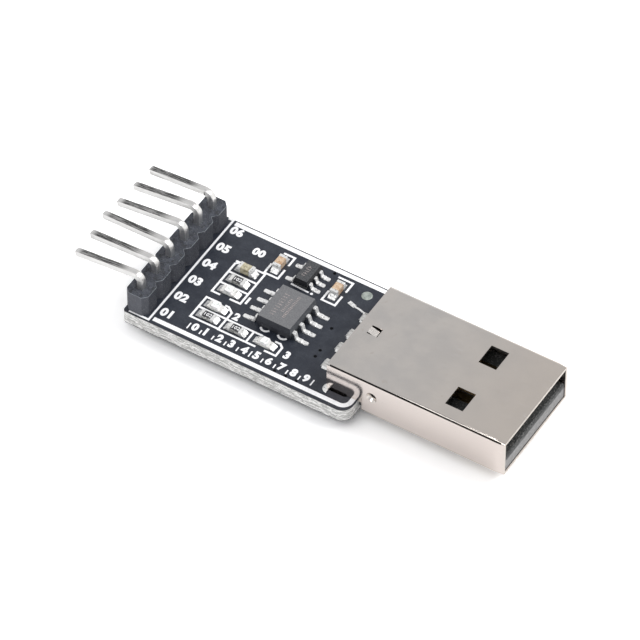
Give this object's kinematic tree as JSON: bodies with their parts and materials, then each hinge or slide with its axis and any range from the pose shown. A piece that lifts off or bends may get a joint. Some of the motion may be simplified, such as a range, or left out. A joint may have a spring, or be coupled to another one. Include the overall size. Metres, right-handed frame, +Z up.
{
  "type": "usb to serial adapter module",
  "caption": "Small circuit board with a male USB-A plug at one end, a bent right-angle pin header at the other, and surface-mounted parts between.",
  "frame": {"origin": "centre of the object's box, at the height of its lowest point (the header's pin tails)", "axes": "+X from the pin header towards the mouth of the USB plug, +Y across the board, +Z up out of the board's component side"},
  "size_m": [0.048, 0.0158, 0.0075],
  "materials": {
    "board": "dark blue-black solder mask with white print on pale fibreglass",
    "header_plastic": "matt moulded plastic with scuffs",
    "solder": "bright smooth solder",
    "shell_nickel": "satin nickel plate on folded sheet",
    "plug_plastic": "matt moulded plastic",
    "chip_epoxy": "matt grey moulded epoxy with faint marks",
    "regulator_epoxy": "matt dark moulded epoxy",
    "tin_leads": "tin-plated leads",
    "pin_tin": "tin plate with dark streaks",
    "contact_gold": "gold flash",
    "capacitor_ceramic": "tan ceramic",
    "resistor_ceramic": "dark glass coat with a plain number",
    "part_ends": "tinned metal ends",
    "led_laminate": "pale laminate",
    "led_epoxy": "milky clear epoxy",
    "led_gold": "gold-flashed pads"
  },
  "bodies": {
    "root": {"pcb": "board", "header_block": "header_plastic", "header_solder": "solder", "usb_shell": "shell_nickel", "usb_insulator": "plug_plastic", "leg_solder": "solder", "contact_solder": "solder", "bridge_chip_body": "chip_epoxy", "bridge_chip_leads": "tin_leads", "regulator_body": "regulator_epoxy", "regulator_leads": "tin_leads", "parts_solder": "solder", "header_pin_1": "pin_tin", "header_pin_2": "pin_tin", "header_pin_3": "pin_tin", "header_pin_4": "pin_tin", "header_pin_5": "pin_tin", "header_pin_6": "pin_tin", "usb_contact_1": "contact_gold", "usb_contact_2": "contact_gold", "usb_contact_3": "contact_gold", "usb_contact_4": "contact_gold", "capacitor_1_body": "capacitor_ceramic", "capacitor_1_ends": "part_ends", "resistor_1_body": "resistor_ceramic", "resistor_1_ends": "part_ends", "led_1_base": "led_laminate", "led_1_lens": "led_epoxy", "led_1_ends": "led_gold", "capacitor_2_body": "capacitor_ceramic", "capacitor_2_ends": "part_ends", "resistor_2_body": "resistor_ceramic", "resistor_2_ends": "part_ends", "led_2_base": "led_laminate", "led_2_lens": "led_epoxy", "led_2_ends": "led_gold", "capacitor_3_body": "capacitor_ceramic", "capacitor_3_ends": "part_ends", "resistor_3_body": "resistor_ceramic", "resistor_3_ends": "part_ends", "led_3_base": "led_laminate", "led_3_lens": "led_epoxy", "led_3_ends": "led_gold"}
  },
  "joints": []
}
